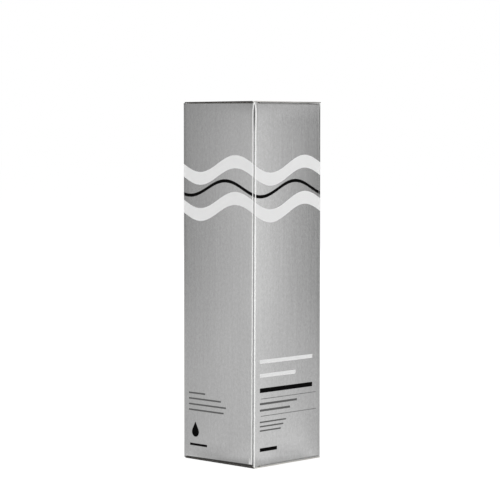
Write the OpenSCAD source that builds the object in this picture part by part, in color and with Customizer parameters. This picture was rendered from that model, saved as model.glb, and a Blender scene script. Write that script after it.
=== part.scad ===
// Contact lens solution: 100 ml dropper bottle in a straight-tuck folding carton.
// Millimetres. +Z is up and the origin is the centre of the carton's base.
// The front panel faces -Y, the tuck side faces -X and the lids' creases lie on the +X side.
// The carton is cut to fit its bottle: its width and height follow the bottle's.

/* [Carton] */
// headroom over the cap, under the closed flaps
headroom = 20; // [17:0.5:30]
// thickness of the metallised board
board_t = 0.45; // [0.35:0.01:0.5]
// outside radius of the folded upright creases
crease_r = 0.9; // [0.6:0.05:1.2]
// width of the glued seam flap
seam_w = 12; // [8:0.5:16]

/* [Lids] */
// depth of the top tuck flap
top_tuck_l = 12; // [8:0.5:12]
// lean of the top tuck flap away from its wall, in degrees
top_tuck_lean = 10; // [9:0.5:12]
// depth of the bottom tuck flap
bottom_tuck_l = 12; // [8:0.5:12]
// corner radius of the tuck flaps' free edges
tuck_r = 5; // [2:0.5:7]
// depth of the dust flaps
dust_l = 17; // [12:0.5:18]
// narrowing of each side of a tuck flap from the lid's side edge
tuck_inset = 1; // [0.6:0.1:3]
// distance that the lid's side edges stay in from the carton's faces
lid_inset = 0.35; // [0.25:0.05:0.8]
// dust flap's cut-back from the tuck wall's outside
dust_cut = 4.2; // [3.8:0.1:6]

/* [Bottle] */
// outside diameter of the bottle
bottle_d = 38.4; // [34:0.2:46]
// height of the bottle's straight side and heel, up to the shoulder
body_h = 93; // [85:1:98]
// wall of the bottle
bottle_wall = 0.8; // [0.6:0.05:1.2]
// heel radius of the bottle
heel_r = 5; // [3:0.5:7]
// shoulder radius of the bottle
shoulder_r = 9; // [7:0.5:10]
// rise of the hollow in the bottle's base
punt_h = 1.2; // [0.6:0.1:2]
// height of the neck above the shoulder
neck_h = 14; // [13:0.5:16]
// outside diameter of the neck
neck_d = 17; // [16:0.5:18]
// bore of the neck
neck_bore_d = 14; // [12:0.5:14.5]
// depth of solution above the shoulder line
fill_over = 3; // [0:0.1:3.2]

/* [Nozzle] */
// height of the nozzle tip above its flange
nozzle_h = 9.5; // [8:0.5:10]
// diameter of the nozzle at its foot
nozzle_foot_d = 8; // [7:0.5:9]
// diameter of the nozzle at its tip
nozzle_tip_d = 4.4; // [4:0.1:5]
// diameter of the drop hole
drop_hole_d = 0.6; // [0.4:0.1:1]
// length of the plug skirt inside the neck
plug_l = 9; // [7:0.5:10]
// thickness of the nozzle's flange on the neck
flange_t = 1; // [0.8:0.1:1.4]

/* [Cap] */
// height of the cap
cap_h = 24; // [23:0.1:25]
// outside diameter at the foot of the cap
cap_foot_d = 22; // [21:0.5:23]
// outside diameter at the crown of the cap
cap_top_d = 13; // [12:0.5:13.5]
// height of the cap's straight skirt
skirt_h = 10.5; // [9:0.5:12]
// wall of the cap
cap_wall = 1.2; // [1:0.1:1.4]
// rounding of the crown
crown_r = 1.5; // [1:0.1:2]
// number of grip ribs round the skirt
grip_ribs = 30; // [20:2:36]
// how far a grip rib stands out
rib_out = 0.35; // [0.2:0.05:0.5]
// height of the tamper band
band_h = 2.6; // [2:0.1:3]
// height of the neck bead that holds the tamper band
bead_h = 0.9; // [0.7:0.1:1]
// how far the neck bead stands out
bead_out = 0.8; // [0.5:0.1:1]
// height of the neck bead above the shoulder
bead_up = 2; // [1.7:0.1:2.2]
// air between the shoulder and the tamper band
band_up = 0.6; // [0.4:0.1:0.8]
// air between the tamper band and the cap
band_gap = 0.4; // [0.2:0.1:0.6]
// wall of the soft cup under the crown
liner_wall = 0.85; // [0.7:0.05:1]
// depth of the soft cup round the nozzle's tip
liner_grip = 2; // [1:0.5:2.5]
// height of the ring that holds the soft cup in the crown
liner_ring_h = 1.5; // [1:0.1:2]

/* [Label and leaflet] */
// height of the label
label_h = 68; // [50:1:76]
// thickness of the label
label_t = 0.1; // [0.08:0.01:0.15]
// gap between the label's two ends, in degrees
label_gap_deg = 12; // [4:1:30]
// width of the folded leaflet
leaflet_w = 28; // [22:0.5:29]
// height of the folded leaflet
leaflet_h = 32; // [24:0.5:33]
// thickness of one folded layer
leaf_t = 0.22; // [0.16:0.01:0.24]
// air between two layers
leaf_gap = 0.12; // [0.08:0.01:0.14]
// number of folded layers
leaf_layers = 8; // [4:2:8]

/* [Clearances] */
// air between two panels where they meet at a crease
crease_gap = 0.1; // [0.05:0.01:0.15]
// air between the lid and what lies under it
lid_gap = 0.15; // [0.1:0.01:0.25]
// air between a tuck flap and its wall
tuck_gap = 0.4; // [0.35:0.01:0.5]
// air under the bottle and under the leaflet
rest_gap = 0.3; // [0.2:0.05:0.4]
// air between the bottle and a bottom tuck flap
side_gap = 0.3; // [0.25:0.05:0.8]
// air between the leaflet and its wall
leaflet_gap = 0.6; // [0.3:0.05:0.8]
// air between the screw cap and the neck
cap_gap = 0.3; // [0.2:0.05:0.4]

/* [Hidden] */
$fn = 96;
EPS = 0.01;
// plan: bottle, air, tuck flap, air, wall
bottle_r = bottle_d / 2;
inner_half = bottle_r + side_gap + board_t + tuck_gap;
half_w = inner_half + board_t;
carton_w = 2 * half_w;
fold_r = board_t / 2;
crease_x = half_w - fold_r;
// upper ends of the walls, counted down from the closed lid
lid_under = board_t;
dust_drop = lid_under + lid_gap;
hinge_wall_drop = lid_under + crease_gap;
tuck_wall_drop = lid_under + lid_gap;
dust_wall_drop = dust_drop + board_t + crease_gap;
stack_t = dust_drop + board_t;
tuck_x = inner_half - tuck_gap - fold_r;
lid_half = half_w - lid_inset;
tuck_half = lid_half - tuck_inset;
// bottle, standing on the bottom dust flaps
bottle_z = stack_t + rest_gap;
neck_z = body_h + shoulder_r;
neck_top = neck_z + neck_h;
bead_z = neck_z + bead_up;
band_z = neck_z + band_up;
cap_z = band_z + band_h + band_gap;
cap_top = cap_z + cap_h;
carton_h = bottle_z + cap_top + headroom + stack_t;
plug_r = neck_bore_d / 2;
nozzle_top = neck_top + flange_t + nozzle_h;
liner_top = cap_top - cap_wall;
crown_air = 0.05;
tip_air = 0.1;
// hair's breadth between the bottle and what lines or wraps it
skin_film = 0.02;
liner_hole_r = nozzle_tip_d / 2 + 0.75;
liner_r = liner_hole_r + liner_wall;
silver = [0.72, 0.73, 0.74];
raw_board = [0.93, 0.92, 0.89];
white_plastic = [0.95, 0.96, 0.97];
clear_blue = [0.75, 0.88, 0.95, 0.6];

// ---- carton walls ----

// square with rounded corners
module rounded_square(size, r) {
    square([size - 2 * r, size], center = true);
    square([size, size - 2 * r], center = true);
    for (sx = [-1, 1], sy = [-1, 1])
        translate([sx * (size / 2 - r), sy * (size / 2 - r)])
            circle(r = r);
}

// plan of the folded tube: the board bends round each upright crease
module tube_plan() {
    difference() {
        rounded_square(carton_w, crease_r);
        rounded_square(carton_w - 2 * board_t, crease_r - board_t);
    }
}

// one wall of the tube, mitred down the middle of its two upright creases
module wall(turn, z0, z1) {
    translate([0, 0, z0])
        linear_extrude(z1 - z0)
            rotate(turn)
                intersection() {
                    tube_plan();
                    polygon([[0, 0], [-carton_w, -carton_w], [carton_w, -carton_w]]);
                }
}

module front_panel() {
    color(silver)
        wall(0, dust_wall_drop, carton_h - dust_wall_drop);
}

module back_panel() {
    color(silver)
        wall(180, dust_wall_drop, carton_h - dust_wall_drop);
}

module left_panel() {
    color(silver)
        wall(-90, tuck_wall_drop, carton_h - tuck_wall_drop);
}

module right_panel() {
    color(silver)
        wall(90, hinge_wall_drop, carton_h - hinge_wall_drop);
}

// seam flap, folded in at the rear corner and glued to the inside of the right wall
module glue_flap() {
    seam_top = carton_h - dust_wall_drop - 1;
    seam_bottom = dust_wall_drop + 1;
    chamfer = board_t * 4;
    color(raw_board)
        translate([inner_half - board_t, 0, 0])
            rotate([90, 0, 90])
                linear_extrude(board_t)
                    polygon([
                        [inner_half - (crease_r - board_t), seam_bottom],
                        [inner_half - (crease_r - board_t), seam_top],
                        [inner_half - seam_w, seam_top - chamfer],
                        [inner_half - seam_w, seam_bottom + chamfer]
                    ]);
}

// ---- closures, drawn for the top with z = 0 at the lid's outer face ----

// closing panel with a full round along both creases
module lid() {
    translate([-tuck_x, -lid_half, -board_t])
        cube([tuck_x + crease_x, 2 * lid_half, board_t]);
    for (x = [-tuck_x, crease_x])
        translate([x, 0, -fold_r])
            rotate([90, 0, 0])
                cylinder(r = fold_r, h = 2 * lid_half, center = true);
}

// outline of a tuck flap, hanging down from y = 0, with rounded free corners
module tuck_outline(length) {
    translate([-tuck_half, -(length - tuck_r)])
        square([2 * tuck_half, length - tuck_r]);
    translate([-(tuck_half - tuck_r), -length])
        square([2 * (tuck_half - tuck_r), tuck_r + EPS]);
    for (sx = [-1, 1])
        translate([sx * (tuck_half - tuck_r), -(length - tuck_r)])
            circle(r = tuck_r);
}

// tuck flap: starts below the lid's crease and leans in by the given angle
module tuck_flap(length, lean) {
    translate([-tuck_x, 0, -fold_r])
        rotate([0, -lean, 0])
            translate([-fold_r, 0, -(fold_r + crease_gap)])
                rotate([90, 0, 90])
                    linear_extrude(board_t)
                        tuck_outline(length);
}

// dust flap on the front wall's crease: 45 degree relief towards the lid's crease
module dust_flap() {
    hinge_end = inner_half - 2 * board_t;
    tuck_end = -(half_w - dust_cut);
    free_y = -crease_x + dust_l;
    translate([0, 0, -dust_drop - board_t])
        linear_extrude(board_t)
            polygon([
                [tuck_end, -crease_x],
                [hinge_end, -crease_x],
                [hinge_end - dust_l, free_y],
                [tuck_end + 2, free_y]
            ]);
    translate([(tuck_end + hinge_end) / 2, -crease_x, -dust_drop - fold_r])
        rotate([0, 90, 0])
            cylinder(r = fold_r, h = hinge_end - tuck_end, center = true);
}

// the same closure at the base, upside down
module at_top() {
    translate([0, 0, carton_h])
        children();
}

module at_base() {
    mirror([0, 0, 1])
        children();
}

module top_lid() {
    color(silver)
        at_top() lid();
}

module top_tuck_flap() {
    color(silver)
        at_top() tuck_flap(top_tuck_l, top_tuck_lean);
}

module top_dust_flap_front() {
    color(silver)
        at_top() dust_flap();
}

module top_dust_flap_back() {
    color(silver)
        at_top() mirror([0, 1, 0]) dust_flap();
}

module bottom_lid() {
    color(silver)
        at_base() lid();
}

module bottom_tuck_flap() {
    color(silver)
        at_base() tuck_flap(bottom_tuck_l, 0);
}

module bottom_dust_flap_front() {
    color(silver)
        at_base() dust_flap();
}

module bottom_dust_flap_back() {
    color(silver)
        at_base() mirror([0, 1, 0]) dust_flap();
}

// ---- bottle ----

// half section of the bottle's outside or inside up to the shoulder's top
module body_section(inset) {
    r = bottle_r - inset;
    low_r = heel_r - inset;
    high_r = shoulder_r - inset;
    top = neck_z - inset;
    translate([0, inset])
        square([r - low_r, low_r]);
    translate([0, heel_r])
        square([r, body_h - heel_r]);
    translate([0, body_h])
        square([r - high_r, top - body_h]);
    intersection() {
        translate([r - low_r, heel_r])
            circle(r = low_r);
        translate([0, inset])
            square([r, low_r]);
    }
    intersection() {
        translate([r - high_r, body_h])
            circle(r = high_r);
        translate([0, body_h])
            square([r, high_r]);
    }
}

// the base is pushed up so that the bottle stands on a ring
module punt_section(height) {
    foot = bottle_r - heel_r;
    ball = (foot * foot + height * height) / (2 * height);
    intersection() {
        translate([0, height - ball])
            circle(r = ball, $fn = 360);
        square([foot, height]);
    }
}

module bottle_body() {
    color(white_plastic)
        translate([0, 0, bottle_z])
            rotate_extrude()
                difference() {
                    union() {
                        body_section(0);
                        translate([0, neck_z - EPS])
                            square([neck_d / 2, neck_h + EPS]);
                        translate([0, bead_z])
                            square([neck_d / 2 + bead_out, bead_h]);
                    }
                    difference() {
                        body_section(bottle_wall);
                        translate([0, bottle_wall])
                            punt_section(punt_h);
                    }
                    translate([0, neck_z - bottle_wall - EPS])
                        square([neck_bore_d / 2, neck_h + bottle_wall + 1]);
                    punt_section(punt_h);
                }
}

// liquid: fills the bottle to a level in the shoulder, with air above it
module solution() {
    level = body_h + fill_over;
    color(clear_blue)
        translate([0, 0, bottle_z])
            rotate_extrude()
                difference() {
                    intersection() {
                        body_section(bottle_wall + skin_film);
                        square([bottle_d, level]);
                    }
                    translate([0, bottle_wall])
                        punt_section(punt_h + skin_film);
                }
}

module bottle_label() {
    label_z = heel_r + (body_h - heel_r - label_h) / 2;
    color([0.93, 0.94, 0.95])
        translate([0, 0, bottle_z + label_z])
            rotate(45 + label_gap_deg / 2)
                rotate_extrude(angle = 360 - label_gap_deg)
                    translate([bottle_r + skin_film, 0])
                        square([label_t, label_h]);
}

// ---- nozzle, band and cap ----

module dropper_nozzle() {
    skirt_wall = 1;
    tip_round = 0.8;
    funnel_z = neck_top - 2;
    color([0.97, 0.97, 0.97])
        translate([0, 0, bottle_z])
            difference() {
                union() {
                    translate([0, 0, neck_top])
                        cylinder(d = neck_d - 1, h = flange_t);
                    translate([0, 0, neck_top - plug_l])
                        cylinder(r = plug_r, h = plug_l + EPS);
                    translate([0, 0, neck_top + flange_t])
                        cylinder(d1 = nozzle_foot_d, d2 = nozzle_tip_d, h = nozzle_h - tip_round);
                    translate([0, 0, nozzle_top - tip_round])
                        cylinder(d1 = nozzle_tip_d, d2 = nozzle_tip_d - tip_round, h = tip_round);
                }
                translate([0, 0, neck_top - plug_l - EPS])
                    cylinder(r = plug_r - skirt_wall, h = plug_l - skirt_wall + EPS);
                translate([0, 0, funnel_z])
                    cylinder(d1 = nozzle_tip_d, d2 = drop_hole_d, h = nozzle_h);
                translate([0, 0, funnel_z])
                    cylinder(d = drop_hole_d, h = nozzle_top - funnel_z + 1);
            }
}

// ring that stays under the neck's bead when the cap is first turned
module tamper_band() {
    band_inner = neck_d / 2 + 0.1;
    color(white_plastic)
        translate([0, 0, bottle_z + band_z])
            rotate_extrude()
                difference() {
                    translate([band_inner, 0])
                        square([cap_foot_d / 2 - band_inner, band_h]);
                    translate([0, bead_z - band_z - 0.1])
                        square([neck_d / 2 + bead_out + 0.1, band_h]);
                }
}

// outside of the cap, as a half section: straight skirt, then a taper to the crown
module cap_section(inset) {
    foot = cap_foot_d / 2 - inset;
    top = cap_top_d / 2 - inset;
    height = cap_h - inset;
    polygon([
        [0, 0],
        [foot, 0],
        [foot, skirt_h],
        [top, height - crown_r],
        [0, height - crown_r]
    ]);
    translate([0, height - crown_r - EPS])
        square([top - crown_r, crown_r + EPS]);
    intersection() {
        translate([top - crown_r, height - crown_r])
            circle(r = crown_r);
        translate([0, height - crown_r - EPS])
            square([top, crown_r + EPS]);
    }
}

module screw_cap() {
    thread_r = neck_d / 2 + cap_gap;
    color(white_plastic)
        translate([0, 0, bottle_z + cap_z]) {
            difference() {
                rotate_extrude()
                    cap_section(0);
                translate([0, 0, -EPS])
                    cylinder(r = thread_r, h = skirt_h + EPS);
                translate([0, 0, skirt_h - EPS])
                    cylinder(
                        r1 = thread_r,
                        r2 = cap_top_d / 2 - cap_wall,
                        h = cap_h - skirt_h - cap_wall + EPS
                    );
            }
            // ring that holds the soft cup, with running clearance
            translate([0, 0, cap_h - cap_wall - liner_ring_h])
                difference() {
                    cylinder(r = liner_r + crown_air + cap_wall / 2, h = liner_ring_h + EPS);
                    translate([0, 0, -EPS])
                        cylinder(r = liner_r + crown_air, h = liner_ring_h + EPS);
                }
            for (i = [0 : grip_ribs - 1])
                rotate(i * 360 / grip_ribs)
                    translate([cap_foot_d / 2 - 0.15, -0.4, 0])
                        cube([rib_out + 0.15, 0.8, skirt_h - 0.4]);
        }
}

// soft cup under the cap's crown that closes the drop hole
module cap_liner() {
    color([0.85, 0.9, 0.95])
        translate([0, 0, bottle_z])
            rotate_extrude()
                difference() {
                    translate([0, nozzle_top - liner_grip])
                        square([liner_r, liner_top - crown_air - nozzle_top + liner_grip]);
                    translate([0, nozzle_top - liner_grip - EPS])
                        square([liner_hole_r, liner_grip + tip_air + EPS]);
                }
}

// ---- leaflet ----

// sheet folded to and fro, seen from above: layers side by side with a bend at each end
module leaf_fold() {
    pitch = leaf_t + leaf_gap;
    run = leaflet_w - 2 * (pitch / 2 + leaf_t / 2);
    for (i = [0 : leaf_layers - 1])
        translate([i * pitch, -run / 2])
            square([leaf_t, run]);
    for (i = [0 : leaf_layers - 2])
        translate([i * pitch + leaf_t + leaf_gap / 2, (i % 2 == 0 ? 1 : -1) * run / 2])
            intersection() {
                difference() {
                    circle(r = leaf_t + leaf_gap / 2, $fn = 24);
                    circle(r = leaf_gap / 2, $fn = 24);
                }
                translate([-carton_w, i % 2 == 0 ? 0 : -carton_w])
                    square([2 * carton_w, carton_w]);
            }
}

module leaflet() {
    stack = leaf_layers * (leaf_t + leaf_gap) - leaf_gap;
    leaf_x = -(inner_half - leaflet_gap);
    inside = -leaf_x - stack;
    // the lowest point rests on the shoulder, above the layer nearest to the neck
    over = inside - (bottle_r - shoulder_r);
    rest_z = body_h + sqrt(shoulder_r * shoulder_r - over * over);
    color([0.97, 0.97, 0.95])
        translate([leaf_x, 0, bottle_z + rest_z + rest_gap])
            linear_extrude(leaflet_h)
                leaf_fold();
}

front_panel();
left_panel();
back_panel();
right_panel();
glue_flap();
top_lid();
top_tuck_flap();
top_dust_flap_front();
top_dust_flap_back();
bottom_lid();
bottom_tuck_flap();
bottom_dust_flap_front();
bottom_dust_flap_back();
bottle_body();
dropper_nozzle();
screw_cap();
cap_liner();
tamper_band();
bottle_label();
solution();
leaflet();
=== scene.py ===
"""Looks for the carton of contact lens solution and the bottle inside it.

Metres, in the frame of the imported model: +Z up, the front panel faces -Y, the tuck side faces -X.
Materials measure the same frame in millimetres.
"""

import math
from collections import namedtuple

import bpy
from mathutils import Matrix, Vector


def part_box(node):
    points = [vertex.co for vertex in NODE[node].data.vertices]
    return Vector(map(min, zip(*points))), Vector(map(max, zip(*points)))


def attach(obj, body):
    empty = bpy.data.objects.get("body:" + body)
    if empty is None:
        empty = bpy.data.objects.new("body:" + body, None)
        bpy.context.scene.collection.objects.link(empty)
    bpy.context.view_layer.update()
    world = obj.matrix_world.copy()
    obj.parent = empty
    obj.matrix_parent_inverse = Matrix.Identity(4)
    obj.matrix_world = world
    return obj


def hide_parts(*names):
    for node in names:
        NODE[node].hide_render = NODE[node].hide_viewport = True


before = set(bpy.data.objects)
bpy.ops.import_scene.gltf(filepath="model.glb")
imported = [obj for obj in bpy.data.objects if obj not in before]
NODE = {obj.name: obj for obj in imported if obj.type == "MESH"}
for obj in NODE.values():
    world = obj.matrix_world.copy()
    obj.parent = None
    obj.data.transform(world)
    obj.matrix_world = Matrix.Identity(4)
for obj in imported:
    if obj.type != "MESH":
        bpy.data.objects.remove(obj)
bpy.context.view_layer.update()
MM = 0.001

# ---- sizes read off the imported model, and the board's own ----

HALF = -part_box("front_panel")[0].y
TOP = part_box("top_lid")[1].z
BOARD = 0.45 * MM
CREASE = 0.6 * MM
WIDE = 2 * HALF / MM
TALL = TOP / MM


# ---- node trees written as expressions ----


class Value:
    """One output socket that can be added, multiplied and compared in Math nodes."""

    def __init__(self, tree, socket):
        self.tree = tree
        self.socket = socket

    def __add__(self, other):
        return self.tree.math("ADD", self, other)

    def __sub__(self, other):
        return self.tree.math("SUBTRACT", self, other)

    def __mul__(self, other):
        return self.tree.math("MULTIPLY", self, other)

    def __truediv__(self, other):
        return self.tree.math("DIVIDE", self, other)

    def __rsub__(self, other):
        return self.tree.math("SUBTRACT", other, self)

    def __neg__(self):
        return self * -1.0

    def __abs__(self):
        return self.tree.math("ABSOLUTE", self)

    def least(self, other):
        return self.tree.math("MINIMUM", self, other)

    def most(self, other):
        return self.tree.math("MAXIMUM", self, other)

    def sin(self):
        return self.tree.math("SINE", self)

    def sign(self):
        return self.tree.math("SIGN", self)

    def over(self, limit):
        return self.tree.math("GREATER_THAN", self, limit)

    def under(self, limit, soft=0.1):
        """1 where the value is below the limit, 0 above it, with a soft step between."""
        return self.tree.clamp((limit - self) / soft + 0.5)

    def ramp(self, start, length):
        """0 up to the start, then rises to 1 over the length."""
        return self.tree.clamp((self - start) / length)

    def fade(self, reach):
        """1 where the value is 0, falls to 0 where it gets to the reach."""
        return self.tree.clamp(1.0 - self / reach)


Spot = namedtuple("Spot", "x y z nx ny nz")

SOCKETS = {
    "color": "Base Color",
    "metal": "Metallic",
    "rough": "Roughness",
    "normal": "Normal",
    "ior": "IOR",
    "specular": "Specular IOR Level",
    "tint": "Specular Tint",
    "clear": "Transmission Weight",
    "under": "Subsurface Weight",
    "reach": "Subsurface Scale",
    "spread": "Subsurface Radius",
}


class Tree:
    """A material with a Principled shader and short calls that add nodes to it."""

    def __init__(self, name):
        self.material = bpy.data.materials.new(name)
        self.material.use_nodes = True
        self.tree = self.material.node_tree
        self.shader = self.tree.nodes["Principled BSDF"]

    def put(self, socket, value):
        if isinstance(value, Value):
            self.tree.links.new(value.socket, socket)
        else:
            socket.default_value = value

    def node(self, kind, inputs=(), **settings):
        made = self.tree.nodes.new(kind)
        for key, value in settings.items():
            setattr(made, key, value)
        for key, value in dict(inputs).items():
            self.put(made.inputs[key], value)
        return made

    def math(self, operation, *values):
        made = self.node("ShaderNodeMath", operation=operation)
        for socket, value in zip(made.inputs, values):
            self.put(socket, value)
        return Value(self, made.outputs[0])

    def clamp(self, value):
        made = self.node("ShaderNodeClamp", {"Value": value})
        return Value(self, made.outputs[0])

    def place(self):
        """The place on the piece in millimetres, in the model's frame."""
        spot = self.node("ShaderNodeTexCoord").outputs["Object"]
        split = self.node("ShaderNodeSeparateXYZ", {"Vector": Value(self, spot)})
        return [Value(self, socket) / MM for socket in split.outputs]

    def facing(self):
        """The surface normal in the piece's own frame."""
        normal = self.node("ShaderNodeNewGeometry").outputs["Normal"]
        turned = self.node(
            "ShaderNodeVectorTransform",
            {"Vector": Value(self, normal)},
            vector_type="NORMAL",
            convert_from="WORLD",
            convert_to="OBJECT",
        )
        split = self.node("ShaderNodeSeparateXYZ", {"Vector": Value(self, turned.outputs[0])})
        return [Value(self, socket) for socket in split.outputs]

    def join(self, x, y, z):
        made = self.node("ShaderNodeCombineXYZ", {"X": x, "Y": y, "Z": z})
        return Value(self, made.outputs[0])

    def noise(self, vector, scale=1.0, detail=3.0, rough=0.5):
        """Noise from 0 to 1; scale is in features per millimetre."""
        made = self.node(
            "ShaderNodeTexNoise",
            {"Vector": vector, "Scale": scale, "Detail": detail, "Roughness": rough},
        )
        return Value(self, made.outputs["Fac"])

    def mix(self, share, first, second):
        """Colour mix; first and second are colours, greys or sockets."""
        made = self.node("ShaderNodeMix", data_type="RGBA")
        self.put(made.inputs["Factor"], share)
        for key, value in (("A", first), ("B", second)):
            if isinstance(value, (int, float)):
                value = (value, value, value)
            if isinstance(value, tuple):
                value = (*value, 1.0)
            socket = [s for s in made.inputs if s.name == key and s.type == "RGBA"][0]
            self.put(socket, value)
        return Value(self, [s for s in made.outputs if s.type == "RGBA"][0])

    def bump(self, height, distance, strength):
        made = self.node(
            "ShaderNodeBump", {"Height": height, "Distance": distance, "Strength": strength}
        )
        return Value(self, made.outputs[0])

    def surface(self, **sockets):
        for key, value in sockets.items():
            self.put(self.shader.inputs[SOCKETS[key]], value)
        return self.material


class Skin:
    """Colour, metalness and roughness of a board, changed where a mask is 1."""

    def __init__(self, tree, color, metal, rough):
        self.tree = tree
        self.color = color
        self.metal = metal
        self.rough = rough

    def tint(self, share, shade):
        self.color = self.tree.mix(share, self.color, shade)

    def unmetal(self, mask):
        self.metal = self.metal * (1.0 - mask)

    def roughen(self, mask, rough):
        self.rough = self.rough * (1.0 - mask) + mask * rough


def dress(thing, material):
    thing.data.materials.clear()
    thing.data.materials.append(material)


def soften(mesh, angle):
    """Smooth shading on a mesh's curved faces; edges sharper than the angle stay sharp."""
    mesh.polygons.foreach_set("use_smooth", [True] * len(mesh.polygons))
    mesh.set_sharp_from_angle(angle=math.radians(angle))


# ---- printed artwork: plain waves and plain bars ----

# a wave that runs round: its middle height, its swing, half its thickness and the softness of its
# edge, all in mm like every place and size in the materials
Wave = namedtuple("Wave", "height swing half soft")
BLACK_LEAD = 0.9  # radians that the black wave runs ahead of the white ones
BAND_Z = TALL - 36.2
WHITE_GAP = 7.6  # between the middles of the black wave and each white one
WALL_WAVES = (
    Wave(BAND_Z + WHITE_GAP, 3.6, 2.7, 0.15),
    Wave(BAND_Z - WHITE_GAP, 3.6, 2.7, 0.15),
    Wave(BAND_Z, 3.2, 0.7, 0.15),
)
WHITE, BLACK, GREY = 0, 1, 2
INK_SHADES = (0.74, 0.004, 0.11)
INK_ROUGH = 0.5
# bars: left end, right end, middle height, thickness, ink
FRONT_BARS = [
    (-16.9, 15.4, 44.2, 1.6, WHITE),
    (-16.9, 4.8, 38.4, 1.6, WHITE),
    (-16.9, 15.4, 32.2, 1.9, BLACK),
    (-16.3, 17.8, 28.7, 0.25, GREY),
    (-16.9, 5.8, 26.6, 0.9, GREY),
    (-16.9, 1.5, 23.9, 0.9, GREY),
    (-16.3, 17.8, 21.5, 0.25, GREY),
    (-16.9, -1.0, 19.0, 0.6, GREY),
    (-16.9, -2.6, 17.2, 0.6, GREY),
    (-16.9, -4.2, 15.4, 0.6, GREY),
    (-16.9, -6.5, 7.4, 1.5, BLACK),
]
LEFT_BARS = [
    (-17.4, -7.5, 28.6, 0.7, GREY),
    (-17.4, 1.8, 26.2, 0.7, GREY),
    (-17.4, 4.8, 23.8, 0.7, GREY),
    (-17.4, 3.4, 21.4, 0.7, GREY),
    (-16.8, -6.5, 6.6, 1.0, BLACK),
]
BAR_SOFT = 0.12
DROP_U, DROP_Z = -13.5, 12.0
DROP_RADIUS_2 = 4.4  # square of the radius
DROP_TIP, DROP_SLOPE, DROP_SHOULDER = 2.45, 0.55, 0.9


def bar(u, z, left, right, middle, thick):
    wide = abs(u - (left + right) / 2).under((right - left) / 2, BAR_SOFT)
    high = abs(z - middle).under(thick / 2, BAR_SOFT)
    return wide * high


def drop(u, z):
    """A round drop; above its shoulder it narrows to a point."""
    across, up = u - DROP_U, z - DROP_Z
    ball = (across * across + up * up).under(DROP_RADIUS_2, 0.5)
    cone = (abs(across) + up * DROP_SLOPE).under(DROP_TIP, BAR_SOFT) * up.over(DROP_SHOULDER)
    return ball.most(cone)


def waves(turn, z, upper, lower, dark):
    """Masks of two white waves and of the black one between them; turn is their phase."""

    def band(phase, wave):
        return abs(z - wave.height - phase.sin() * wave.swing).under(wave.half, wave.soft)

    return band(turn, upper).most(band(turn, lower)), band(turn + BLACK_LEAD, dark)


def inks(u, z, bars, with_drop):
    """Pairs of ink and mask on a wall that runs along u."""
    masks = dict(zip((WHITE, BLACK), waves(u * (2 * math.pi / WIDE), z, *WALL_WAVES)))
    for left, right, middle, thick, ink in bars:
        mask = bar(u, z, left, right, middle, thick)
        masks[ink] = masks[ink].most(mask) if ink in masks else mask
    if with_drop:
        masks[BLACK] = masks[BLACK].most(drop(u, z))
    return masks.items()


# ---- board: metallised outside, raw inside and on the cut edges ----

FACING = 0.35  # a face is outside where its normal has this much of an outward direction
METAL_TONE = 0.31
METAL_WARMTH = 0.997  # blue as a share of red and green
METAL_ROUGH, RAW_ROUGH = 0.145, 0.8
GRAZING_TINT = (0.55, 0.55, 0.55, 1.0)  # keeps the metal from going white at a flat angle
RAW_DARK, RAW_PALE = (0.62, 0.60, 0.56), (0.80, 0.79, 0.75)
CUT_DARK, CUT_PALE = (0.45, 0.44, 0.42), (0.60, 0.59, 0.57)
HINGE_DARK = 0.05
FIBRE_AND_HIGHLIGHT_WHITE, FLANK_ROUGH = (0.92, 0.92, 0.91), 0.6
DARK_REFLECTION = (0.05, 0.05, 0.05)
SIDE_DARK = (0.12, 0.12, 0.12)
FRAYED = (0.80, 0.79, 0.77)
GAP_SHADE, GAP_SHADE_SHARE, GAP_SHADE_ROUGH = (0.035, 0.032, 0.03), 0.92, 0.7

# painted shade and painted light on the walls: how far each reaches from the base or the top, where
# it starts across the wall, over what length it grows, and how much of the tone it takes or adds
BASE_SHADE, BASE_SHADE_FROM, BASE_SHADE_GROWS, BASE_SHADE_SHARE = 9.0, 3.0, 9.0, 0.22
LID_SHADE, LID_SHADE_BELOW, LID_SHADE_SHARE = 5.0, 0.5, 0.24
BRIGHT, BRIGHT_FROM, BRIGHT_GROWS, BRIGHT_SHARE = 8.0, -16.0, 26.0, 0.26
FOOT_SHADE, FOOT_SHADE_FROM, FOOT_SHADE_GROWS, FOOT_SHADE_SHARE = 4.5, -14.0, 16.0, 0.35

# upright creases, worn and with painted light and shade: places and half widths across the fold, and
# reaches along it from the top or base
CREASE_ZONE = 3.0
WANDER = 0.35
LEAN, UPRIGHT_Z = 0.0042, 62.0
GAPE_BELOW, GAPE_REACH, GAPE = 6.5, 7.0, 0.12
CLOSED, CLOSING = 0.6, 3.2
FLANK_INNER, FLANK_SPREAD, FLANK_HALF = 0.12, 0.44, 0.13
SECOND_FLANK, SECOND_HALF = 0.60, 0.20
DARK_REFLECTION_HALF, DARK_REFLECTION_FROM, DARK_REFLECTION_GROWS = 0.18, 60.0, 70.0
EDGE_SOFT = 0.2
TIP_HALF, TIP_TALL = 0.34, 1.6
FOOT_HIGHLIGHT, FOOT_HIGHLIGHT_HALF, FOOT_HIGHLIGHT_TALL, FOOT_HIGHLIGHT_SHARE = 1.5, 0.9, 3.4, 0.6
SIDE_DARK_OFF, SIDE_DARK_HALF, SIDE_DARK_BELOW, SIDE_DARK_GROWS, SIDE_DARK_SHARE = 1.25, 0.25, 20.0, 12.0, 0.22

# painted gap shade and frayed ends: how far they reach in from the carton's top, base and sides
CORNER_END, CORNER_END_RAW = 0.95, 1.4
CORNER_LEFT, CORNER_BACK = 1.8, 1.6
FOLD_END, FOLD_SIDE = 1.6, 1.35
FRAYED_FRONT = 1.3


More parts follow.
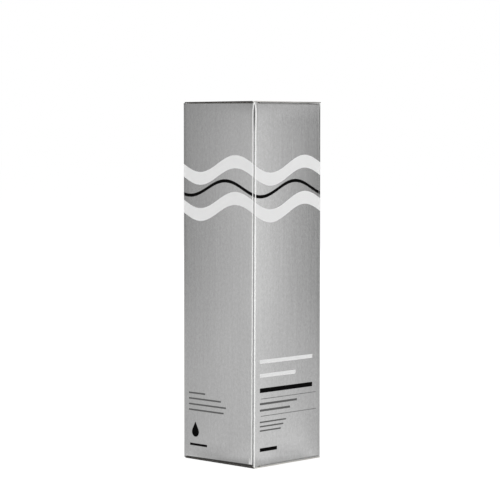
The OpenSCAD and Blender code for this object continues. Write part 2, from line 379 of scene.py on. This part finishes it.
def wall_outside(spot):
    """The mask of the side that faces away from the tube's axis, and the place along the wall."""
    x, y = spot.x, spot.y
    outer = (x.sign() * spot.nx).most(y.sign() * spot.ny).over(FACING)
    on_front_or_back = abs(y).over(abs(x))
    along = on_front_or_back * (-(x * y.sign())) + (1.0 - on_front_or_back) * (y * x.sign())
    return outer, along


def flap_outside(spot, outward):
    """The mask of the sides that face one of the outward directions."""
    outer = None
    for dx, dy, dz in outward:
        toward = spot.nx * dx + spot.ny * dy + spot.nz * dz
        outer = toward if outer is None else outer.most(toward)
    return outer.over(FACING)


def film_noises(tree, spot):
    """Upright streaks, fine mottling and broad clouds of the metallised film, and the fibres."""
    x, y, z = spot[:3]
    streak = tree.noise(tree.join(x, y, z * 0.03), 0.9, 4.0, 0.7)
    grain = tree.noise(tree.join(x, y, z * 0.7), 1.1, 4.0, 0.7)
    cloud = tree.noise(tree.join(x, y, z * 0.5), 0.05, 2.0, 0.5)
    fibre = tree.noise(tree.join(x, y, z * 0.4), 1.6, 5.0, 0.7)
    return streak, grain, cloud, fibre


def wall_tone(tone, spot, along, shaded_foot):
    """The metal's tone with painted shade and painted light on the front and left walls."""
    x, y, z = spot[:3]
    below = TALL - z
    to_corner = -(x + y)  # 0 at the far ends of those walls, WIDE at the front corner
    # painted shade: darker near the base, most towards the front corner
    tone = tone * (1.0 - z.fade(BASE_SHADE) * to_corner.ramp(BASE_SHADE_FROM, BASE_SHADE_GROWS) * BASE_SHADE_SHARE)
    # painted shade under the lid, most at the front corner
    lid_shade = to_corner.ramp(0.0, WIDE)
    tone = tone * (1.0 - (below - LID_SHADE_BELOW).fade(LID_SHADE) * lid_shade * lid_shade * LID_SHADE_SHARE)
    # painted light: the front panel is brighter below the lid towards its far end
    on_front = (-y).over(WIDE / 2 - 0.8)
    lit = below.fade(BRIGHT) * (x.ramp(BRIGHT_FROM, BRIGHT_GROWS) * on_front)
    tone = tone * (lit * BRIGHT_SHARE + 1.0)
    if shaded_foot:
        # painted shade above the base, behind the bottom fold
        foot_shade = z.fade(FOOT_SHADE) * along.ramp(FOOT_SHADE_FROM, FOOT_SHADE_GROWS)
        tone = tone * (1.0 - foot_shade * FOOT_SHADE_SHARE)
    return tone


def crease_wear_and_light(tree, spot, outer, skin):
    """Upright creases: pale worn fibre on both flanks of the fold, painted bright as its highlight
    too, a painted dark reflection down its middle, and a darker band beside it near the top.
    """
    x, y, z = spot[:3]
    below = TALL - z
    # the blank is glued flat on the front crease and the one opposite, so those two are worn most
    # and carry most of the painted highlight and dark reflection
    folded_flat = (x * y).over(0.0) * 0.88 + 0.12
    near = (abs(x) + abs(y)).over(WIDE - CREASE_ZONE) * folded_flat
    # across is below 0 on the front and back walls; the painted dark reflection down the fold
    # wanders and leans a little
    wander = (tree.noise(tree.join(0.0, 0.0, z), 0.16, 3.0, 0.6) - 0.5) * WANDER
    lean = (z - UPRIGHT_Z) * LEAN
    across = (abs(x) - abs(y)) * math.sqrt(0.5) + (wander + lean)
    off = abs(across)
    rubbed = tree.noise(tree.join(x, y, z * 0.35), 1.3, 3.0, 0.6)

    # the fold gapes a little below the top, and its two pale flanks, worn fibre with a painted
    # highlight, meet at the very top
    gape = abs(below - GAPE_BELOW).fade(GAPE_REACH)
    closing = below.ramp(CLOSED, CLOSING)
    middle = gape * GAPE + closing * FLANK_SPREAD + FLANK_INNER
    flank = abs(off - middle).under(FLANK_HALF, EDGE_SOFT)
    # the front and back walls' flank is drawn a second time, wider
    second = abs(across + SECOND_FLANK + gape * GAPE).under(SECOND_HALF, EDGE_SOFT)
    second = second * across.under(0.0, 0.01) * closing
    flank = flank.most(second) * (rubbed * 1.6 + 0.3).least(1.0)
    tip = off.under(TIP_HALF, 0.3) * below.under(TIP_TALL, 1.4)
    # painted highlight on the left wall at its foot beside the fold
    foot_highlight = abs(across - FOOT_HIGHLIGHT).under(FOOT_HIGHLIGHT_HALF, 0.8) * z.under(FOOT_HIGHLIGHT_TALL, 3.0)
    foot_highlight = foot_highlight * x.under(0.0) * FOOT_HIGHLIGHT_SHARE
    flank = flank.most(tip).most(foot_highlight) * near

    # the painted dark reflection is darker in the upper half
    upper = z.ramp(DARK_REFLECTION_FROM, DARK_REFLECTION_GROWS)
    depth = rubbed * 0.6 + 0.30 + upper * 0.22 + gape * 0.16
    dark_reflection = off.under(gape * GAPE + DARK_REFLECTION_HALF, EDGE_SOFT) * depth * (1.0 - tip) * near
    # beside the fold the board is darker near the top
    side_dark = abs(off - SIDE_DARK_OFF).under(SIDE_DARK_HALF, 0.35) * near
    side_dark = side_dark * z.ramp(TALL - SIDE_DARK_BELOW, SIDE_DARK_GROWS)
    # painted on the outer side: a darker band, pale flanks of worn fibre with a painted highlight,
    # and a painted dark reflection down the middle
    skin.tint(side_dark * outer * SIDE_DARK_SHARE, SIDE_DARK)
    skin.tint(flank * outer, FIBRE_AND_HIGHLIGHT_WHITE)
    skin.tint(dark_reflection * outer, DARK_REFLECTION)
    skin.unmetal(flank)
    skin.roughen(flank, FLANK_ROUGH)


def shade_rear_corner(spot, outer, skin):
    """Both ends of the corner of the left and back walls are painted dark as the shade of the gaps
    under the lids, as the folds are.
    """
    off_middle = abs(spot.z - TALL / 2)
    ends = off_middle.over(TALL / 2 - CORNER_END)
    ends = ends.most(off_middle.over(TALL / 2 - CORNER_END_RAW) * (1.0 - outer))
    left = spot.x.under(CORNER_LEFT - WIDE / 2, 0.3)
    back = (-spot.y).under(CORNER_BACK - WIDE / 2, 0.3)
    corner_shade = left * back * ends
    skin.tint(corner_shade * GAP_SHADE_SHARE, GAP_SHADE)
    skin.unmetal(corner_shade)


def cut_edge(tree, spot, fibre, raw):
    """Cut edges of the lids and flaps: darker grey, less so at the base, and darker still towards
    the hinge.
    """
    less_at_base = spot.z.over(TALL / 2) * 0.75 + 0.25
    cut = abs(spot.ny).over(0.9) * abs(spot.nz).under(0.3, 0.1) * less_at_base
    raw = tree.mix(cut, raw, tree.mix(fibre, CUT_DARK, CUT_PALE))
    return tree.mix(cut * spot.x.ramp(4.0, 11.0) * 0.48, raw, HINGE_DARK)


def shade_lid_fold(spot, outer, skin):
    """The fold beside the tuck is painted dark as the shade of the gap beside it, and frayed pale at
    the top lid's front corner.
    """
    ends = abs(spot.z - TALL / 2).over(TALL / 2 - FOLD_END)
    fold = spot.x.under(FOLD_SIDE - WIDE / 2, 0.1) * ends * outer
    frayed = spot.y.under(FRAYED_FRONT - WIDE / 2, 0.5) * spot.z.over(TALL / 2) * fold
    skin.tint(frayed, FRAYED)
    skin.unmetal(frayed)
    fold = fold * (1.0 - frayed)
    skin.tint(fold * GAP_SHADE_SHARE, GAP_SHADE)
    skin.unmetal(fold)
    skin.roughen(fold, GAP_SHADE_ROUGH)


def board(name, outward=None, bars=(), with_drop=False, shaded_foot=False):
    """Board of a flap whose metallised side faces the outward directions, or of a wall.

    A wall has no outward directions: its metallised side faces away from the tube's axis. Only
    walls are printed.
    """
    tree = Tree(name)
    spot = Spot(*tree.place(), *tree.facing())
    streak, grain, cloud, fibre = film_noises(tree, spot)
    tone = streak * 0.07 + grain * 0.17 + cloud * 0.05 + METAL_TONE
    raw = tree.mix(fibre, RAW_DARK, RAW_PALE)
    if outward:
        outer = flap_outside(spot, outward)
        raw = cut_edge(tree, spot, fibre, raw)
    else:
        outer, along = wall_outside(spot)
        tone = wall_tone(tone, spot, along, shaded_foot)
    color = tree.mix(outer, raw, tree.join(tone, tone, tone * METAL_WARMTH))
    metal_rough = streak * 0.08 + grain * 0.05 + METAL_ROUGH
    skin = Skin(tree, color, outer, outer * (metal_rough - RAW_ROUGH) + RAW_ROUGH)
    if outward:
        shade_lid_fold(spot, outer, skin)
    else:
        for ink, mask in inks(along, spot.z, bars, with_drop):
            mask = mask * outer
            skin.tint(mask, INK_SHADES[ink])
            skin.unmetal(mask)
            skin.roughen(mask, INK_ROUGH)
        crease_wear_and_light(tree, spot, outer, skin)
        shade_rear_corner(spot, outer, skin)
    relief = streak * 0.25 + grain * 0.35 + (1.0 - outer) * fibre * 3.0
    return tree.surface(
        color=skin.color,
        metal=skin.metal,
        rough=skin.rough,
        specular=0.0,
        tint=GRAZING_TINT,
        normal=tree.bump(relief, 0.04 * MM, 0.6),
    )


FRONT_BOARD = board("front_board", bars=FRONT_BARS)
LEFT_BOARD = board("left_board", bars=LEFT_BARS, with_drop=True, shaded_foot=True)
PLAIN_BOARD = board("wall_board")


# ---- carton walls ----

ARC_STEPS, FLAT_STEPS, ROWS = 8, 26, 44
WALL_ARC = 45  # degrees of each crease that belong to one wall
WALL_SHARP, BOTTLE_SHARP = 35, 30  # degrees between faces above which an edge stays sharp
# places across a wall are shares of its half width, from -1 to 1
SWELL = 0.14 * MM
LEFT_ROLL, ROLL_REACH, ROLL_START = 0.16 * MM, 7 * MM, -0.4
NOTCH, NOTCH_START, NOTCH_STEP = 0.62 * MM, -0.90, 0.06


def smooth_step(t):
    t = max(0.0, min(1.0, t))
    return t * t * (3 - 2 * t)


def wall_columns():
    """Each column's place across the wall, its depth behind the wall's plane and its normal."""
    edge = HALF - CREASE
    columns = []
    for i in range(ARC_STEPS + 1):
        a = math.radians(WALL_ARC * (1 - i / ARC_STEPS))
        sin, cos = math.sin(a), math.cos(a)
        columns.append((-edge - CREASE * sin, CREASE * (1 - cos), -sin, cos))
    far_arc = [(-across, depth, -n_across, n_out) for across, depth, n_across, n_out in columns]
    for i in range(1, FLAT_STEPS):
        columns.append((-edge + 2 * edge * i / FLAT_STEPS, 0.0, 0.0, 1.0))
    return columns + far_arc[::-1]


COLUMNS = wall_columns()


def wall_points(low, high, roll):
    """Points of the wall that faces -Y: the grid of its outer side, then that of its inner one.

    low and high give the heights of its two ends at a share of the half width. roll is how far
    the top edge is pressed in at its end towards the front corner.
    """
    points = []
    for inner in (0, 1):
        for row in range(ROWS + 1):
            for across, depth, n_across, n_out in COLUMNS:
                u = across / HALF
                z = low(u) + (high(u) - low(u)) * row / ROWS
                v = 2 * (z / TOP) - 1
                # the corners stay in by the swell; the middle reaches the box
                inset = SWELL * (1 - (1 - u * u) * (1 - 0.75 * v * v))
                pressed = roll * smooth_step((u - ROLL_START) / (1 - ROLL_START))
                pressed *= max(0.0, 1 - (TOP - z) / ROLL_REACH) ** 2
                out = HALF - depth - inset - pressed - inner * BOARD * n_out
                aside = across - inner * BOARD * n_across
                aside -= math.copysign(min(abs(u), 1.0) ** 8 * inset, across)
                points.append((aside, -out, z))
    return points


def wall_faces():
    """Faces that join the two grids of wall_points into a closed sheet."""
    count = len(COLUMNS)
    grid = (ROWS + 1) * count
    faces = []

    def add(quad, flip):
        faces.append(quad[::-1] if flip else quad)

    for base in (0, grid):
        for row in range(ROWS):
            for column in range(count - 1):
                a = base + row * count + column
                add((a, a + 1, a + count + 1, a + count), base > 0)
    for row in range(ROWS):
        for column in (0, count - 1):
            a = row * count + column
            add((a, a + count, a + count + grid, a + grid), column > 0)
    for column in range(count - 1):
        for row in (0, ROWS):
            a = row * count + column
            add((a, a + grid, a + grid + 1, a + 1), row > 0)
    return faces


def wall(name, node, turn, low, high, material, roll=0.0):
    """One wall of the tube: rounded half creases at both ends and a faint swell between them."""
    cos, sin = math.cos(math.radians(turn)), math.sin(math.radians(turn))
    points = wall_points(low, high, roll)
    mesh = bpy.data.meshes.new(name)
    mesh.from_pydata(
        [(x * cos - y * sin, x * sin + y * cos, z) for x, y, z in points], [], wall_faces()
    )
    soften(mesh, WALL_SHARP)
    mesh.update()
    piece = bpy.data.objects.new(name, mesh)
    bpy.context.scene.collection.objects.link(piece)
    dress(piece, material)
    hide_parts(node)
    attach(piece, "carton")


def span(node):
    low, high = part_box(node)
    return low.z, high.z


def notch(u):
    """Where the wall runs past the dust flap's end, its edge rises to just under the lid."""
    return NOTCH * (1 - smooth_step((u - NOTCH_START) / NOTCH_STEP)) if u < 0 else 0.0


def dip(u, far, near, rise):
    """How far the tuck side's ragged edge stands back from the lid: most at the front corner.

    It is nothing at the rear corner, far just beside it and near at the front corner, in mm.
    """
    return smooth_step((u + 1) / rise) * (far + (near - far) * (u + 1) / 2) * MM


f_low, f_high = span("front_panel")
l_low, l_high = span("left_panel")
r_low, r_high = span("right_panel")

wall(
    "front_wall",
    "front_panel",
    0,
    lambda u: f_low - notch(u),
    lambda u: f_high + notch(u),
    FRONT_BOARD,
)
wall(
    "back_wall",
    "back_panel",
    180,
    lambda u: f_low - notch(-u),
    lambda u: f_high + notch(-u),
    PLAIN_BOARD,
)
wall(
    "left_wall",
    "left_panel",
    -90,
    lambda u: l_low + dip(u, 0.60, 1.10, rise=0.05),
    lambda u: l_high - dip(u, 0.10, 0.40, rise=0.12),
    LEFT_BOARD,
    roll=LEFT_ROLL,
)
wall("right_wall", "right_panel", 90, lambda u: r_low, lambda u: r_high, PLAIN_BOARD)


# ---- lids, flaps and seam ----

FOLDS = [(-0.9, 0, 0), (0.9, 0, 0)]  # the lids' rounded folds count as outside as well
FLAPS = {
    "top_lid": ([(0, 0, 1), *FOLDS], "lid_board"),
    "bottom_lid": ([(0, 0, -1), *FOLDS], "lid_board"),
    "top_tuck_flap": ([(-1, 0, 0)], "lid_board"),
    "bottom_tuck_flap": ([(-1, 0, 0)], "lid_board"),
    "top_dust_flap_front": ([(0, 0, 1), (0, -1, 0)], "lid_board"),
    "top_dust_flap_back": ([(0, 0, 1), (0, 1, 0)], "lid_board"),
    "bottom_dust_flap_front": ([(0, 0, -1), (0, -1, 0)], "lid_board"),
    "bottom_dust_flap_back": ([(0, 0, -1), (0, 1, 0)], "lid_board"),
    "glue_flap": ([(1, 0, 0)], "seam_board"),
}
made = {}
for node, (outward, slot) in FLAPS.items():
    key = str(outward)
    if key not in made:
        made[key] = board("flap_board_%d" % len(made), outward)
    dress(NODE[node], made[key])


# ---- bottle ----

LABEL_RADIUS = 19.3
LABEL_REPEATS = 3.0  # waves round the bottle
LABEL_WAVES = (Wave(70.0, 2.6, 1.7, 0.15), Wave(60.5, 2.6, 1.7, 0.15), Wave(65.2, 2.2, 0.45, 0.12))
LABEL_TEXT_U = -30.3
LABEL_LEFT = -12
LABEL_BARS = (
    (LABEL_LEFT, 12, 46, 1.8, WHITE),
    (LABEL_LEFT, 3, 42, 1.8, WHITE),
    (LABEL_LEFT, 12, 37, 1.6, BLACK),
)
SMALL_PRINT_ROWS, SMALL_PRINT_Z, SMALL_PRINT_PITCH, SMALL_PRINT_THICK = 6, 31.0, 1.7, 0.45
PAPER_PITCH, PAGE_HALF = 1.4, 11.5  # the leaflet's printed rows: their pitch and half length


def plastic(name, color, rough, under, reach=0.002, clear=0.0):
    """Moulded plastic with faint mottling; under and reach set how far light goes into it."""
    tree = Tree(name)
    x, y, z = tree.place()
    mottle = tree.noise(tree.join(x, y, z), 0.35, 4.0, 0.6)
    pebble = tree.noise(tree.join(x, y, z), 4.0, 3.0, 0.6)
    darker = tuple(c * 0.93 for c in color)
    return tree.surface(
        color=tree.mix(mottle, darker, color),
        rough=pebble * 0.12 + rough,
        under=under,
        reach=reach,
        spread=(1.0, 1.0, 1.0),
        clear=clear,
        normal=tree.bump(pebble + mottle * 2.0, 0.03 * MM, 0.5),
    )


def liquid():
    """Clear solution with the refraction of salt water."""
    tree = Tree("solution_liquid")
    x, y, z = tree.place()
    drift = tree.noise(tree.join(x, y, z * 0.4), 0.08, 2.0, 0.5)
    return tree.surface(
        color=tree.mix(drift, (0.86, 0.95, 0.98), (0.93, 0.98, 1.0)),
        rough=drift * 0.03 + 0.02,
        ior=1.335,
        clear=1.0,
    )


def film():
    """Wrap label: silver grey film with the carton's waves and plain bars."""
    tree = Tree("label_film")
    x, y, z = tree.place()
    angle = tree.math("ARCTAN2", y, x)
    white, black = waves(angle * LABEL_REPEATS, z, *LABEL_WAVES)
    u = angle * LABEL_RADIUS - LABEL_TEXT_U
    for left, right, middle, thick, ink in LABEL_BARS:
        mask = bar(u, z, left, right, middle, thick)
        if ink == WHITE:
            white = white.most(mask)
        else:
            black = black.most(mask)
    for row in range(SMALL_PRINT_ROWS):
        ragged = 9 - (row * 7) % 5
        middle = SMALL_PRINT_Z - SMALL_PRINT_PITCH * row
        black = black.most(bar(u, z, LABEL_LEFT, ragged, middle, SMALL_PRINT_THICK) * 0.6)
    grain = tree.noise(tree.join(x, y, z), 3.0, 3.0, 0.6)
    color = tree.mix(grain, (0.50, 0.51, 0.52), (0.56, 0.57, 0.58))
    color = tree.mix(white, color, 0.82)
    color = tree.mix(black, color, 0.02)
    return tree.surface(
        color=color, rough=grain * 0.1 + 0.32, normal=tree.bump(grain, 0.02 * MM, 0.4)
    )


def paper():
    """Thin leaflet paper with faint rows that show through."""
    tree = Tree("leaflet_paper")
    x, y, z = tree.place()
    fibre = tree.noise(tree.join(x * 2, y, z), 1.2, 6.0, 0.7)
    row = tree.math("FLOOR", z / PAPER_PITCH)
    line = abs(tree.math("FRACT", z / PAPER_PITCH) - 0.5).under(0.16, 0.1)
    words = tree.noise(tree.join(0.0, y * 0.9, row * 7.3), 1.0, 1.0, 0.5).over(0.46)
    page = abs(y).under(PAGE_HALF, 0.4) * abs(tree.facing()[0]).over(0.7)
    color = tree.mix(fibre, (0.74, 0.73, 0.69), (0.86, 0.85, 0.82))
    color = tree.mix(line * words * page * 0.45, color, 0.22)
    return tree.surface(
        color=color, rough=fibre * 0.15 + 0.75, normal=tree.bump(fibre, 0.05 * MM, 0.6)
    )


def foam():
    """Pale blue foam of the cap's seal."""
    tree = Tree("liner_foam")
    x, y, z = tree.place()
    cell = tree.noise(tree.join(x, y, z), 5.0, 2.0, 0.6)
    return tree.surface(
        color=tree.mix(cell, (0.66, 0.74, 0.80), (0.80, 0.86, 0.90)),
        rough=cell * 0.2 + 0.6,
        normal=tree.bump(cell, 0.08 * MM, 0.7),
    )


CAP_WHITE = plastic("cap_plastic", (0.84, 0.85, 0.86), 0.22, under=0.12)
CONTENTS = {
    "bottle_body": (
        plastic("bottle_plastic", (0.82, 0.84, 0.85), 0.30, under=0.35, reach=0.004, clear=0.12),
        "bottle_plastic",
    ),
    "tamper_band": (CAP_WHITE, "cap_plastic"),
    "screw_cap": (CAP_WHITE, "cap_plastic"),
    "dropper_nozzle": (
        plastic("nozzle_plastic", (0.80, 0.82, 0.83), 0.28, under=0.4),
        "nozzle_plastic",
    ),
    "cap_liner": (foam(), "liner_foam"),
    "bottle_label": (film(), "label_film"),
    "solution": (liquid(), "solution_liquid"),
    "leaflet": (paper(), "leaflet_paper"),
}
for node, (material, slot) in CONTENTS.items():
    dress(NODE[node], material)
    if node != "leaflet":
        soften(NODE[node].data, BOTTLE_SHARP)


# ---- stage: world, floor, studio cards, lamps and camera ----

CAMERA = Vector((-0.61047, -0.58596, 0.13842))
YAW, TILT = math.radians(43.8858), math.radians(3.334)
LENS, SENSOR = 143.3, 36.0
FLOOR_HALF = 6.0
CARD_RADIUS = 0.6
CARD_STEPS = 6
LAMP_AIM = Vector((0, 0, 0.07))
LAMP_TALL = 0.9
LIGHT_WORLD, LIGHT_FLOOR, SEEN_FLOOR, SEEN_GLOW = 0.60, 0.90, 0.30, 0.82

scene = bpy.context.scene
scene.view_settings.view_transform = "Standard"


def seen(tree):
    """1 for rays that look at the stage: from the camera, in a reflection or through plastic."""
    path = tree.nodes.new("ShaderNodeLightPath")
    total = path.outputs["Is Camera Ray"]
    for name in ("Is Glossy Ray", "Is Transmission Ray"):
        most = tree.nodes.new("ShaderNodeMath")
        most.operation = "MAXIMUM"
        tree.links.new(total, most.inputs[0])
        tree.links.new(path.outputs[name], most.inputs[1])
        total = most.outputs[0]
    return total


def between(tree, share, low, high):
    """low where the share is 0, high where it is 1."""
    mapped = tree.nodes.new("ShaderNodeMapRange")
    mapped.inputs["To Min"].default_value = low
    mapped.inputs["To Max"].default_value = high
    tree.links.new(share, mapped.inputs["Value"])
    return mapped.outputs[0]


def light_world():
    """White for rays that look at it, a little less as light on the model."""
    world = bpy.data.worlds.new("studio")
    scene.world = world
    world.use_nodes = True
    tree = world.node_tree
    background = tree.nodes["Background"]
    background.inputs["Color"].default_value = (1, 1, 1, 1)
    tree.links.new(between(tree, seen(tree), LIGHT_WORLD, 1.0), background.inputs["Strength"])


def bare_material(name):
    material = bpy.data.materials.new(name)
    material.use_nodes = True
    material.node_tree.nodes.clear()
    return material, material.node_tree


def stage_mesh(name, points, faces, material):
    mesh = bpy.data.meshes.new(name)
    mesh.from_pydata(points, [], faces)
    mesh.materials.append(material)
    thing = bpy.data.objects.new(name, mesh)
    scene.collection.objects.link(thing)
    return thing


def lay_floor():
    """White floor that keeps the model's shadow and can be seen through from below."""
    material, tree = bare_material("floor_white")
    direct = seen(tree)
    matt = tree.nodes.new("ShaderNodeBsdfDiffuse")
    tree.links.new(between(tree, direct, LIGHT_FLOOR, SEEN_FLOOR), matt.inputs["Color"])
    glow = tree.nodes.new("ShaderNodeEmission")
    tree.links.new(between(tree, direct, 0.0, SEEN_GLOW), glow.inputs["Strength"])
    both = tree.nodes.new("ShaderNodeAddShader")
    tree.links.new(matt.outputs[0], both.inputs[0])
    tree.links.new(glow.outputs[0], both.inputs[1])
    clear = tree.nodes.new("ShaderNodeBsdfTransparent")
    sided = tree.nodes.new("ShaderNodeMixShader")
    underside = tree.nodes.new("ShaderNodeNewGeometry").outputs["Backfacing"]
    tree.links.new(underside, sided.inputs["Fac"])
    tree.links.new(both.outputs[0], sided.inputs[1])
    tree.links.new(clear.outputs[0], sided.inputs[2])
    output = tree.nodes.new("ShaderNodeOutputMaterial")
    tree.links.new(sided.outputs[0], output.inputs["Surface"])
    far = FLOOR_HALF
    corners = [(-far, -far, 0), (far, -far, 0), (far, far, 0), (-far, far, 0)]
    stage_mesh("floor", corners, [(0, 1, 2, 3)], material)


# a card's levels: share of its radius, height, brightness, contrast. It lies just over the floor
# where the share is below 1, and fades to plain white where the contrast is low.
LEVELS = (
    (0.05, 0.001, 0.9, 0.35),
    (0.50, 0.001, 0.97, 0.32),
    (1.00, 0.001, 1.0, 0.55),
    (1.00, 0.040, 1.0, 1.0),
    (1.00, 0.140, 1.0, 1.0),
    (1.00, 0.240, 0.62, 1.0),
    (1.00, 0.700, 0.40, 1.0),
)
# stops: azimuth and brightness
LEFT_STOPS = ((100, 1.0), (116, 0.3), (130, 0.29), (140, 1.1), (160, 1.16), (172, 1.85), (190, 1.85))
RIGHT_STOPS = ((258, 2.6), (276, 2.6), (290, 1.7), (308, 1.95), (320, 0.24), (334, 0.26), (350, 1.0))


def card(name, stops):
    """A bent studio card that shows only in the board's reflection."""
    material, tree = bare_material(name + "_cloth")
    paint = tree.nodes.new("ShaderNodeAttribute")
    paint.attribute_name = "brightness"
    glow = tree.nodes.new("ShaderNodeEmission")
    tree.links.new(paint.outputs["Fac"], glow.inputs["Strength"])
    output = tree.nodes.new("ShaderNodeOutputMaterial")
    tree.links.new(glow.outputs[0], output.inputs["Surface"])
    points, faces, bright = [], [], []
    rungs = len(LEVELS)
    for (first, low), (last, high) in zip(stops, stops[1:]):
        for i in range(CARD_STEPS + 1):
            azimuth = math.radians(first + (last - first) * i / CARD_STEPS)
            here = low + (high - low) * i / CARD_STEPS
            for share, z, level, contrast in LEVELS:
                reach = CARD_RADIUS * share
                points.append((reach * math.cos(azimuth), reach * math.sin(azimuth), z))
                bright.append(level * (1 + (here - 1) * contrast))
            if i:
                k = len(points) - 2 * rungs
                for j in range(k, k + rungs - 1):
                    faces.append((j, j + rungs, j + rungs + 1, j + 1))
    thing = stage_mesh(name, points, faces, material)
    thing.data.attributes.new("brightness", "FLOAT", "POINT").data.foreach_set("value", bright)
    thing.visible_camera = False
    thing.visible_diffuse = False
    thing.visible_transmission = False
    thing.visible_shadow = False


def lamp(name, azimuth, distance, height, watts, width=0.6):
    """A soft lamp that points at the model and doesn't show in it."""
    data = bpy.data.lights.new(name, "AREA")
    data.shape = "RECTANGLE"
    data.size, data.size_y = width, LAMP_TALL
    data.energy = watts
    thing = bpy.data.objects.new(name, data)
    a = math.radians(azimuth)
    thing.location = (distance * math.cos(a), distance * math.sin(a), height)
    thing.rotation_euler = (LAMP_AIM - thing.location).to_track_quat("-Z", "Y").to_euler()
    thing.visible_glossy = False
    thing.visible_camera = False
    scene.collection.objects.link(thing)


def set_camera():
    data = bpy.data.cameras.new("camera")
    data.sensor_width = SENSOR
    data.lens = LENS
    data.clip_start, data.clip_end = 0.01, 50.0
    camera = bpy.data.objects.new("camera", data)
    scene.collection.objects.link(camera)
    scene.camera = camera
    forward = Vector(
        (math.cos(YAW) * math.cos(TILT), math.sin(YAW) * math.cos(TILT), -math.sin(TILT))
    )
    camera.location = CAMERA
    camera.rotation_euler = forward.to_track_quat("-Z", "Y").to_euler()


light_world()
lay_floor()
card("card_left", LEFT_STOPS)
card("card_right", RIGHT_STOPS)
lamp("softbox_left", 170, 1.3, 0.7, 4.6)
lamp("softbox_right", 285, 1.3, 0.7, 6.2)
lamp("softbox_top", 200, 0.4, 1.5, 4.0, width=0.9)
lamp("softbox_back", 45, 1.3, 0.7, 5.0)
set_camera()
